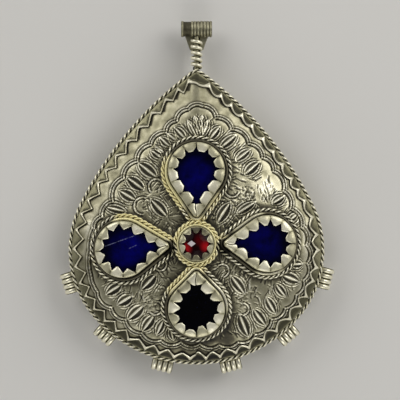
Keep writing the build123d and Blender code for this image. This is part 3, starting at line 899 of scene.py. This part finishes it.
def chased_relief():
    """Height of the chasing over the plain dome, at each point of the grid."""
    relief = np.zeros(field_x.shape)
    chance = np.random.RandomState(7)
    scattered_strokes(relief, chance)
    leaf_lines(relief, chance)
    relief = 0.62 * np.clip(relief, -0.26, 0.22)
    for leaf in LEAVES:
        clear_under_leaf(relief, leaf)
    for leaf in LEAVES:
        leaf_relief(relief, leaf)
    for n in range(len(SCALLOP_JOINTS)):
        scallop_relief(relief, n)
    for x, y, radius, start in SCROLLS:
        arc_relief(relief, (x, y), radius, start, start + SCROLL_SWEEP, scroll_profile)
    relief = np.clip(relief, -0.5, 0.42)
    for x, y, radius in PUNCHED:
        for _ in range(int(11 * radius**2)):
            turn, away = chance.rand() * tau, radius * sqrt(chance.rand())
            cells, dx, dy = patch(x + away * cos(turn), y + away * sin(turn), 0.7)
            relief[cells] -= 0.13 * bell(np.hypot(dx, dy), 0.19)
    broad = blurred(chance.standard_normal(field_x.shape), 2.4)
    fine = blurred(chance.standard_normal(field_x.shape), 0.6)
    relief += 0.07 * broad / broad.std() + 0.028 * fine / fine.std()
    return relief * np.clip((rim_gap - 0.3) / 0.9, 0, 1) * np.clip((under_setting + 0.6) / 0.8, 0, 1)


def sheet_tone_and_painted_light():
    """Tone of the sheet: tarnish and wear in places, painted shadow and shade, and painted highlight."""
    depth, spread, _ = border_line(rim_run.ravel())
    edge = rim_gap - (depth + spread).reshape(rim_gap.shape)
    # Painted shadow just inside the border's cut edge, and darker beside the ropes
    tone = 0.9 * bell(np.clip(edge - 0.1, 0, None), 0.32) + 0.85 * bell(np.clip(rope_gap, 0, None), 1.1)
    for x, y, wide, tall, amount in SHEET_TONES:
        tone += amount * bell(np.hypot((field_x - x) / wide, (field_y - y) / tall), 1.0)
    # Painted shade along the foot of the sheet
    foot = np.clip((-23.2 - field_y) / 3.0, 0, 1) * bell(field_x - 1.0, 17.0)
    # Painted highlight: a paler band along the side margins
    margin = bell(rim_gap - 4.3, 1.3) * np.clip((9.0 - np.abs(field_y - 4.0)) / 6.0, 0, 1)
    return tone + 0.6 * foot - 0.3 * margin


def front_dome():
    """Domed sheet with its chased leaves and scallops, closed below by a plain lining."""
    relief = chased_relief()
    slope_x, slope_y = np.gradient(base_z, PITCH)
    size = np.sqrt(slope_x**2 + slope_y**2 + 1)
    tone = np.clip((blurred(relief, 0.55) - relief) / 0.13, -1.3, 1.3)
    tone = np.clip(tone + sheet_tone_and_painted_light() - 0.05, -1, 1)
    x = field_x - relief * slope_x / size
    y = field_y - relief * slope_y / size
    z = base_z + relief / size

    def lining(u, v):
        flat = teardrop(u, -WALL_T)[0] * (1 - v)[:, None]
        height = np.where(v == 0, WALL_TOP, dome_z(flat[:, 0], flat[:, 1]) - DOME_T)
        return np.column_stack([flat, height]), 0.5

    def rim_spot(vert):
        return rim_tree.find((vert.co.x / MM, vert.co.y / MM, 0.0))

    bm = bmesh.new()
    strip(bm, LINING_SIDES, LINING_RINGS, lining, True)
    lining_edge = [e for e in bm.edges if e.is_boundary]
    layer = bm.verts.layers.float["hollow"]
    sheet = bmesh.ops.create_grid(bm, x_segments=FIELD_CELLS[0], y_segments=FIELD_CELLS[1], size=1.0)
    outside = []
    for vert in sheet["verts"]:
        i = round((vert.co.x + 1) / 2 * FIELD_CELLS[0])
        j = round((vert.co.y + 1) / 2 * FIELD_CELLS[1])
        vert.co = (x[i, j] * MM, y[i, j] * MM, z[i, j] * MM)
        vert[layer] = tone[i, j]
        if rim_gap[i, j] < RIM_SNAP or under_setting[i, j] < -HIDDEN:
            outside.append(vert)
    while outside:
        bmesh.ops.delete(bm, geom=outside, context="VERTS")
        outside = [v for v in bm.verts if not v.link_faces or sum(e.is_boundary for e in v.link_edges) > 2]
    known = {e for e in lining_edge if e.is_valid}
    open_edge = [e for e in bm.edges if e.is_boundary and e not in known]
    sheet_edge = [e for e in open_edge if rim_spot(e.verts[0])[2] < 1.0]
    rim = set(sheet_edge)
    bmesh.ops.holes_fill(bm, edges=[e for e in open_edge if e not in rim], sides=0)
    for vert in {v for e in sheet_edge for v in e.verts}:
        dot = rim_spot(vert)[0]
        vert.co = (dot.x * MM, dot.y * MM, WALL_TOP * MM)
    bmesh.ops.bridge_loops(bm, edges=sheet_edge + list(known))
    keep_piece("chased_front_dome", bm, "cover", chased_silver, "front_dome", sharp=75.0)


def border_line(run):
    """Depth of the border's cut edge at places along the wall, its spread at the roots, and its painted shade.
    """
    roots = np.array((BORDER_ROOTS[-1] - wall_length,) + BORDER_ROOTS + (BORDER_ROOTS[0] + wall_length,))
    make = np.array(BORDER_MAKE)
    root, tip, straight, dull = (np.interp(run, make[:, 0], make[:, n]) for n in (1, 2, 3, 4))
    tooth = np.searchsorted(roots, run, side="right") - 1
    part = (run - roots[tooth]) / (roots[tooth + 1] - roots[tooth])
    tri = 1 - np.abs(2 * part - 1)
    lobe = 1 - (1 - tri) ** 2.4
    deep = np.random.RandomState(11).normal(1.0, 0.06, len(roots))
    depth = root + (tip * deep[tooth] - root) * (straight * tri + (1 - straight) * lobe)
    return depth, (0.3 + 0.7 * (1 - straight)) * (1 - tri) ** 3, dull


def toothed_border():
    """Flat band round the rim, cut into teeth on its inner edge and edged with a raised line."""
    share = np.arange(BORDER_STEPS + 1) / BORDER_STEPS
    depth, spread, dull = border_line(share * wall_length)
    for line in (depth, spread, dull):
        line[-1] = line[0]
    # Rows across the band: share of the tooth's depth, inset from there, height over the dome and tone
    # The tone paints shadow in the rows on either side of the raised line
    rows = (
        (0.0, 0.0, -0.15, 0.4), (0.0, 0.0, 0.42, 0.1), (0.22, 0.0, 0.5, 0.0), (0.45, 0.0, 0.46, 0.05),
        (0.75, -0.5, 0.42, 0.1), (1.0, -0.74, 0.37, 0.45), (1.0, -0.58, 0.36, 1.0), (1.0, -0.44, 0.58, -0.6),
        (1.0, -0.25, 0.76, -1.0), (1.0, -0.06, 0.62, -0.9), (1.0, 0.04, 0.26, 1.0), (1.0, 0.10, -0.15, 1.0),
    )
    table = np.array(rows + rows[:1])
    wall, inside = teardrop(share)[0], teardrop(share, -BORDER_REACH)[0]

    def place(u, v):
        i = step_of(u, BORDER_STEPS)
        row = table[step_of(v, len(rows))]
        inset = np.clip(row[:, 0] * depth[i] + row[:, 1], 0.0, None) * (row[:, 0] > 0)
        inset = np.maximum(inset, row[:, 0] * 0.2) + spread[i] * (row[:, 1] > -0.3) * (row[:, 0] == 1.0)
        part = (inset / BORDER_REACH)[:, None]
        flat = wall[i] * (1 - part) + inside[i] * part
        height = dome_z(flat[:, 0], flat[:, 1]) + row[:, 2]
        return np.column_stack([flat, height]), row[:, 3] + dull[i] * ((row[:, 0] > 0) & (row[:, 0] < 1))

    bm = bmesh.new()
    strip(bm, BORDER_STEPS, len(rows), place, True)
    keep_piece("cut_toothed_border", bm, "cover", border_silver, "toothed_border", sharp=50.0)


def rim_twist():
    """Two wires twisted together round the foot of the dome."""
    flat, normal = teardrop(twist_shares(RIM_TWIST), RIM_WIRE_OUT)
    path = np.column_stack([flat, np.full(len(flat), WALL_TOP - RIM_WIRE_DROP)])
    side = np.column_stack([normal, np.zeros(len(flat))])
    up = np.tile((0.0, 0.0, 1.0), (len(flat), 1))
    bm = bmesh.new()
    twisted_wires(bm, path, side, up, RIM_TWIST)
    keep_piece("twisted_rim_wire", bm, "cover", twisted_silver, "rim_wire", sharp=80.0)


def worn_bright(path):
    """How bright a plain wire is along its path, where gilding or worn silver is near."""
    bright = np.zeros(len(path))
    for x, y, near, amount in GILDED + SILVER_WORN:
        away = np.hypot(path[:, 0] - x, path[:, 1] - y) / near
        bright += amount * np.clip((1 - away) / 0.4, 0, 1)
    return np.clip(bright, 0, 1)


def petal_rope(name, reach):
    """Twisted rope laid round a setting on the dome, with a thin plain wire inside it."""
    place = setting_frames[name]
    share = twist_shares(PETAL_TWIST)
    up = np.tile(place[3], (len(share), 1))
    bm = bmesh.new()
    # Distance from the bezel, height over the dome and distance from the centre
    for grow, rise, keep_out in ((1.42, 0.42, CENTRE_OUT_R + 0.45), (0.48, 0.95, CENTRE_OUT_R)):
        flat, normal = petal(share, reach, grow)
        path = set_out(place, flat, lift_to_dome(place, flat, -rise))
        path[:, :2] *= np.maximum(1.0, keep_out / np.hypot(path[:, 0], path[:, 1]))[:, None]
        path[-1] = path[0]
        side = set_out(place, normal) - place[0]
        side[-1] = side[0]
        if grow > 1:
            twisted_wires(bm, path, side, up, PETAL_TWIST)
        else:
            bright = worn_bright(path)
            # Painted highlight on top of the plain wire and painted shade under it; lighter where gilding or
            # worn silver is near
            wire(bm, path, side, up, PETAL_WIRE_R, lambda i, angle: (
                0.85 - 0.3 * bright[i] - (0.4 + 0.6 * bright[i]) * np.sin(angle)))
    keep_piece(name + "_rope", bm, "cover", gilt_rope, name + "_rope_wire", sharp=80.0)


def centre_rope():
    """Twisted ring round the middle setting, with a plain wire against the bezel."""
    place = setting_frames["centre"]
    share = twist_shares(CENTRE_TWIST)
    up = np.tile(place[3], (len(share), 1))
    bm = bmesh.new()
    for radius, rise in ((CENTRE_ROPE_R, 0.55), (CENTRE_BEZEL_R + 0.3, 1.35)):
        flat, normal = ring(share, radius)
        path = set_out(place, flat, np.full(len(flat), rise))
        path[-1] = path[0]
        side = set_out(place, normal) - place[0]
        if rise < 1:
            twisted_wires(bm, path, side, up, CENTRE_TWIST)
        else:
            # Painted highlight on top of the plain wire and painted shade under it
            wire(bm, path, side, up, CENTRE_WIRE_R, lambda i, angle: 0.3 - 0.9 * np.sin(angle))
    keep_piece("centre_rope", bm, "cover", gilt_rope, "centre_rope_ring", sharp=80.0)


def dog_tooth_bezel(name, make, seed, reach=None):
    """Bezel strip whose edge is cut into teeth and bent down over the stone; the round one has no reach."""
    chance = np.random.RandomState(seed)
    place = setting_frames[name]
    teeth, top, land, length = make
    along = teeth * TOOTH_STEPS
    share = np.arange(along + 1) / along
    flat, normal = petal(share, reach, 0.0) if reach else ring(share, CENTRE_BEZEL_R)
    flat[-1], normal[-1] = flat[0], normal[0]
    foot = lift_to_dome(place, flat, 0.3) if reach else np.full(len(flat), -0.1)
    skew = chance.normal(0.0, 0.09, teeth)
    longer = chance.normal(1.0, 0.14, teeth)
    low_blunt, high_blunt, curve, closing_room = TOOTH_CUT[name]
    blunt = chance.uniform(low_blunt, high_blunt, teeth)
    tooth = np.minimum((share * teeth).astype(int), teeth - 1)
    tooth_middle = np.arange(teeth) * TOOTH_STEPS + TOOTH_STEPS // 2
    part = share * teeth - tooth
    peak = 0.5 + skew[tooth]
    tri = np.where(part < peak, part / peak, (1 - part) / (1 - peak))
    tri = np.clip(tri, 0, 1)
    shape = 1 - (1 - np.clip(tri * blunt[tooth], 0, 1)) ** curve
    blade = length * longer[tooth]
    land = land * (1 + 0.22 * chance.standard_normal(teeth + 1))
    land[-1] = land[0]
    land = np.interp(share * teeth, np.arange(teeth + 1), land)
    if closing_room:
        parting = 0.45 * np.sin(1.9 * flat[:, 0] + seed) * np.clip(np.abs(flat[:, 1]) / 2.4, 0, 1)
        room = 0.95 * np.abs(flat[:, 1] - parting) / np.maximum(np.abs(normal[:, 1]), 0.05)
        closing = (room[tooth_middle] < closing_room)[tooth]
        land = np.minimum(land, 0.8 * room)
        blade = np.where(closing, room - land, np.minimum(blade, room - land))
    blade = land + np.maximum(blade, 0.02) * shape
    tilt = chance.normal(0.0, 0.05, teeth)[tooth]
    rubbed = chance.uniform(-0.4, 0.35, teeth)
    # Painted shade: on the round setting, teeth that face up or down the box are darker than those facing the
    # sides
    dull = np.zeros(teeth) if closing_room else 0.9 * normal[tooth_middle, 1] ** 2
    # Rows across the strip: inset, share of the blade, height (below the bend a share, then from the top), tone
    # The tone paints shade on the outer wall and under the teeth, and highlights along the bend and the teeth's
    # edges
    rows = ((0, 0, 0, 1.0), (0, 0, 0.5, 1.0), (0, 0, 0.8, 0.6), (0.10, 0, -0.24, -0.2), (0.32, 0, -0.06, -0.35),
            (0.32, 0.3, 0.05, -0.5), (0.32, 0.72, 0.04, -0.6), (0.32, 0.86, -0.02, -0.9),
            (0.32, 0.97, -0.08, -0.9), (0.32, 1.0, -0.18, 0.6), (0.34, 0.96, -0.30, 1.0),
            (0.36, 0.5, -0.30, 1.0), (0.45, 0, -0.5, 1.0), (0.45, 0, 0, 1.0))
    bend, face_end = 3, 9
    table = np.array(rows + rows[:1], float)

    def bent(u, v):
        i = step_of(u, along)
        n = step_of(v, len(rows)) % len(rows)
        row = table[n]
        inset = row[:, 0] + np.clip(blade[i] - row[:, 0], 0.0, None) * row[:, 1]
        crease = 0.13 * (tri[i] - 0.35) * np.sin(pi * np.clip(row[:, 1], 0, 1))
        crease = crease + 0.13 * (tri[i] - 0.75) * (n == bend + 1)
        upright = foot[i] + (top - foot[i]) * row[:, 2]
        lift = np.where(n < bend, upright, top + row[:, 2] + crease + tilt[i] * row[:, 1])
        lift = np.where(n == len(rows) - 1, foot[i], lift)
        spot = flat[i] - normal[i] * inset[:, None]
        wear = 1.1 * (1 - tri[i]) ** 5 + rubbed[tooth[i]] + dull[tooth[i]]
        worn = row[:, 3] + np.where((n > bend) & (n < face_end), wear, 0.0)
        return set_out(place, spot, lift), np.clip(worn, -1, 1)

    bm = bmesh.new()
    strip(bm, along, len(rows), bent, True)
    keep_piece(name + "_tooth_bezel", bm, "cover", bezel_silver, name + "_bezel", sharp=55.0)


def petal_stone(name, reach, slot, material):
    """Flat cut stone with a soft edge and a slightly raised face; painted shade darkens its rim."""
    place = setting_frames[name]
    heart = np.array([(reach - BEZEL_TIP_REACH) * 0.72, 0.0])
    # Rows from the middle of the foot to the middle of the face: share of the outline, height and painted shade
    rows = np.array(((0.0, -STONE_T, 1), (1.0, -STONE_T, 1), (1.0, -0.25, 1), (0.985, -0.08, 1),
                     (0.95, 0.0, 1), (0.86, 0.05, 1), (0.72, 0.09, 0.95), (0.6, 0.105, 0.5), (0.48, 0.12, 0.1),
                     (0.25, 0.13, 0), (0.0, 0.13, 0)))

    def place_row(u, v):
        row = rows[step_of(v, len(rows) - 1)]
        flat = petal(u % 1.0, reach, -STONE_GAP)[0]
        spot = heart + (flat - heart) * row[:, :1]
        return set_out(place, spot, STONE_TOP + row[:, 1]), row[:, 2]

    bm = bmesh.new()
    strip(bm, STONE_STEPS, len(rows) - 1, place_row, True)
    keep_piece(name + "_set_stone", bm, "cover", material, name + "_stone", sharp=60.0)


def cut_garnet():
    """Round cut stone: girdle, two rows of crown facets and a table."""
    low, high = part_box("centre_garnet")
    table = high.z / MM
    foot = low.z / MM
    girdle = CENTRE_BEZEL_R - STONE_GAP
    bm = bmesh.new()
    for radius, height, start in ((girdle, foot, 0.0), (girdle, table - 1.0, 0.0),
                                  (2.75, table - 0.34, 0.5), (1.75, table, 0.0)):
        corners = bmesh.ops.create_circle(bm, segments=GARNET_SIDES, radius=radius * MM)["verts"]
        for n, vert in enumerate(corners):
            turn = tau * (n + start) / GARNET_SIDES
            vert.co = (radius * cos(turn) * MM, radius * sin(turn) * MM, height * MM)
    hull = bmesh.ops.convex_hull(bm, input=bm.verts[:])
    inside = [g for g in hull["geom_interior"] if isinstance(g, bmesh.types.BMVert)]
    bmesh.ops.delete(bm, geom=inside, context="VERTS")
    bmesh.ops.dissolve_limit(bm, angle_limit=radians(1.0), verts=bm.verts, edges=bm.edges)
    bmesh.ops.bevel(bm, geom=bm.edges[:], offset=0.04 * MM, affect="EDGES", segments=1, profile=0.5,
                    material=-1)
    keep_piece("cut_garnet", bm, "cover", garnet, "centre_garnet", sharp=3.0)


def stem_winding():
    """Wire wound round the stem, with its two ends drawn straight."""
    wound = np.linspace(0, COIL_TURNS, COIL_TURNS * COIL_STEPS + 1)
    turn = -pi / 2 + tau * wound
    y = COIL_LOW + COIL_PITCH * wound
    path = np.column_stack([COIL_R * np.cos(turn), y, STEM_Z + COIL_R * np.sin(turn)])
    end = np.array([[1.0 - e, 0, 0] for e in (0.0, 0.02, 0.1, 0.3, 0.9)])
    path = np.concatenate([path[0] - end, path, path[-1] + end[::-1]])
    thick = np.full(len(path), COIL_WIRE_R)
    thick[:4] = COIL_WIRE_R * np.array((0.0, 0.5, 0.8, 0.95))
    thick[-4:] = thick[:4][::-1]
    way = np.gradient(path, axis=0)
    way /= np.linalg.norm(way, axis=1)[:, None]
    side = path - np.column_stack([np.zeros(len(path)), path[:, 1], np.full(len(path), STEM_Z)])
    side -= way * np.sum(side * way, axis=1)[:, None]
    side /= np.linalg.norm(side, axis=1)[:, None]
    bm = bmesh.new()
    # Painted highlight on the outer side of the winding and painted shade where it lies against the post
    wire(bm, path, side, np.cross(way, side), thick, lambda i, angle: 0.1 - 1.1 * np.cos(angle), 12)
    keep_piece("stem_winding", bm, "cover", twisted_silver, "stem_coil", sharp=80.0)


def round_roll(x, radius, turn):
    """Points round the axis of the paper roll."""
    return np.column_stack([x, ROLL_Y + radius * np.cos(turn), ROLL_Z + radius * np.sin(turn)])


def paper_roll():
    """Sheet of paper rolled up tight, its outer edge lying free."""
    chance = np.random.RandomState(3)
    knots = np.linspace(0, 1, 41)
    uneven = np.cumsum(chance.normal(0, 0.02, len(knots)))
    uneven -= np.linspace(uneven[0], uneven[-1], len(knots))

    def place(u, v):
        turn = u * ROLL_TURNS * tau + 0.6
        radius = ROLL_CORE_R + (ROLL_R - 0.2 - ROLL_CORE_R) * u + 0.03 * np.sin(3 * turn)
        length = ROLL_LENGTH - 0.6 - 0.9 * np.sin(u * 9.0) ** 2
        x = (v - 0.5) * length + 0.15 * np.interp(u, knots, uneven)
        return round_roll(x, radius, turn), 0.0

    bm = bmesh.new()
    strip(bm, 300, 16, place, False)
    bmesh.ops.recalc_face_normals(bm, faces=bm.faces)
    bmesh.ops.solidify(bm, geom=bm.faces[:], thickness=PAPER_T * MM)
    keep_piece("paper_roll", bm, "back", paper, "prayer_scroll", sharp=60.0)


def ribbon_tie():
    """Ribbon round the paper roll, knotted on top with two short ends."""
    half = TIE_WIDTH / 2
    inner = ROLL_R + 0.02
    cut = ((-half, 0.0), (-half * 0.9, 0.30), (-half * 0.4, 0.36), (0.0, 0.33), (half * 0.4, 0.36),
           (half * 0.9, 0.30), (half, 0.0), (0.0, -0.02))
    table = np.array(cut + cut[:1])

    def band(u, v):
        row = table[step_of(v, len(cut))]
        turn = u * tau
        pinch = 1 - 0.35 * np.exp(-(((turn - pi / 2) / 0.28) ** 2))
        return round_roll(row[:, 0] * pinch, inner + row[:, 1], turn), 0.0

    def tail(side):
        def place(u, v):
            row = table[step_of(v, len(cut))]
            run = u * 5.4
            turn = pi / 2 + side * (0.10 + run / 4.6)
            radius = inner + 0.42 + row[:, 1] * 0.6 + 0.25 * np.sin(u * pi) + 0.15 * np.sin(u * 7)
            x = side * 0.5 + row[:, 0] * (0.55 + 0.35 * u) + 1.4 * side * u
            return round_roll(x, radius, turn), 0.0
        return place

    def knot(u, v):
        turn, lat = u * tau, (v - 0.5) * pi
        x = 1.15 * np.cos(lat) * np.cos(turn) * (1 + 0.12 * np.cos(3 * turn))
        y = ROLL_Y + 0.95 * np.cos(lat) * np.sin(turn)
        z = ROLL_Z + inner + 0.55 + 0.62 * np.sin(lat) + 0.12 * np.cos(2 * turn) * np.cos(lat)
        return np.column_stack([x, y, z]), 0.0

    bm = bmesh.new()
    strip(bm, 72, len(cut), band, True)
    for side in (-1, 1):
        strip(bm, 18, len(cut), tail(side), True)
    bmesh.ops.holes_fill(bm, edges=[e for e in bm.edges if e.is_boundary], sides=0)
    strip(bm, 24, 12, knot, True)
    keep_piece("ribbon_tie", bm, "back", ribbon, "scroll_tie", sharp=60.0)


STONES = {"top": ("blue_stone", blue_stone), "left": ("blue_stone", scratched_blue),
          "right": ("blue_stone", blue_stone), "bottom": ("black_stone", black_stone)}
front_dome()
toothed_border()
rim_twist()
for name, direction, reach in SETTINGS:
    petal_rope(name, reach)
    dog_tooth_bezel(name, PETAL_BEZEL, int(direction) + 5, reach)
    petal_stone(name, reach, *STONES[name])
centre_rope()
dog_tooth_bezel("centre", CENTRE_BEZEL, 21)
cut_garnet()
stem_winding()
paper_roll()
ribbon_tie()

# CAD nodes that stay in sight keep their shape and take the finish of their metal
finishes = {"side_wall": wall_silver, "back_plate": back_silver, "back_collar": back_silver,
            "stem_post": bail_silver}
for bore in frame["record"]["mounts"]:
    if bore["name"] == "bail_bore":
        finishes["bail_band"] = ribbed_silver("bail_band_silver", SILVER_STOPS, bore, *BAIL_RIBS)
    elif bore["name"].startswith("loop_"):
        loop = bore["name"][:-len("_bore")]
        finishes[loop] = ribbed_silver(loop + "_silver", BRIGHT_STOPS, bore, *LOOP_RIBS)
finishes.update({name + "_bedding": lac for name in setting_frames})
for node, material in finishes.items():
    mesh = frame["nodes"][node].data
    mesh.materials.clear()
    mesh.materials.append(material)
    mesh.polygons.foreach_set("material_index", np.zeros(len(mesh.polygons), int))

# Pale floor, three soft lamps in a plain room, and a camera straight above
floor_finish, floor_shade = new_finish("pale_floor")
floor_cloud = floor_shade.noise(floor_shade.place(), 9.0, 2.0)
floor_colour = floor_shade.mixed(floor_cloud, (0.72, 0.71, 0.69, 1), (0.78, 0.77, 0.75, 1))
close_finish(floor_shade, {"Base Color": floor_colour, "Roughness": 0.9 - floor_cloud * 0.1})
floor_bm = bmesh.new()
bmesh.ops.create_grid(floor_bm, x_segments=2, y_segments=2, size=1.5)
bmesh.ops.translate(floor_bm, verts=floor_bm.verts, vec=(0.0, 0.0, -0.1 * MM))
floor_mesh = bpy.data.meshes.new("floor")
floor_bm.to_mesh(floor_mesh)
floor_bm.free()
floor_mesh.materials.append(floor_finish)
floor = add_object("floor", floor_mesh)

LAMP_SIZE = 0.60
LAMP_COLOUR = (1.0, 0.985, 0.95)
for name, spot, power in (("window_light", (-0.48, 0.48, 0.50), 1.85), ("fill_light", (0.50, 0.36, 0.48), 2.3),
                          ("front_light", (0.04, -0.62, 0.42), 1.3)):
    lamp = bpy.data.lights.new(name, "AREA")
    lamp.shape = "DISK"
    lamp.size = LAMP_SIZE
    lamp.energy = power
    lamp.color = LAMP_COLOUR
    light = add_object(name, lamp)
    light.location = spot
    light.rotation_euler = (-Vector(spot)).to_track_quat("-Z", "Y").to_euler()

world = bpy.data.worlds.new("room")
bpy.context.scene.world = world
world.use_nodes = True
world.node_tree.nodes.clear()
room = Shade(world.node_tree)
_, _, upward = room.parts(room.node("ShaderNodeTexCoord", output="Generated"))
walls = room.mixed(upward.rise(0.15, 0.95), (0.58, 0.58, 0.57, 1), (0.10, 0.10, 0.10, 1))
sky = room.node("ShaderNodeBackground", None, {"Color": walls, "Strength": 1.0})
room.node("ShaderNodeOutputWorld", None, {"Surface": sky})

lens = bpy.data.cameras.new("camera")
lens.lens = 150.0
lens.sensor_width = 36.0
lens.clip_start = 0.01
camera = add_object("camera", lens)
camera.location = (0.945 * MM, 11.61 * MM, 460.0 * MM)
bpy.context.scene.camera = camera
bpy.context.scene.view_settings.view_transform = "Standard"
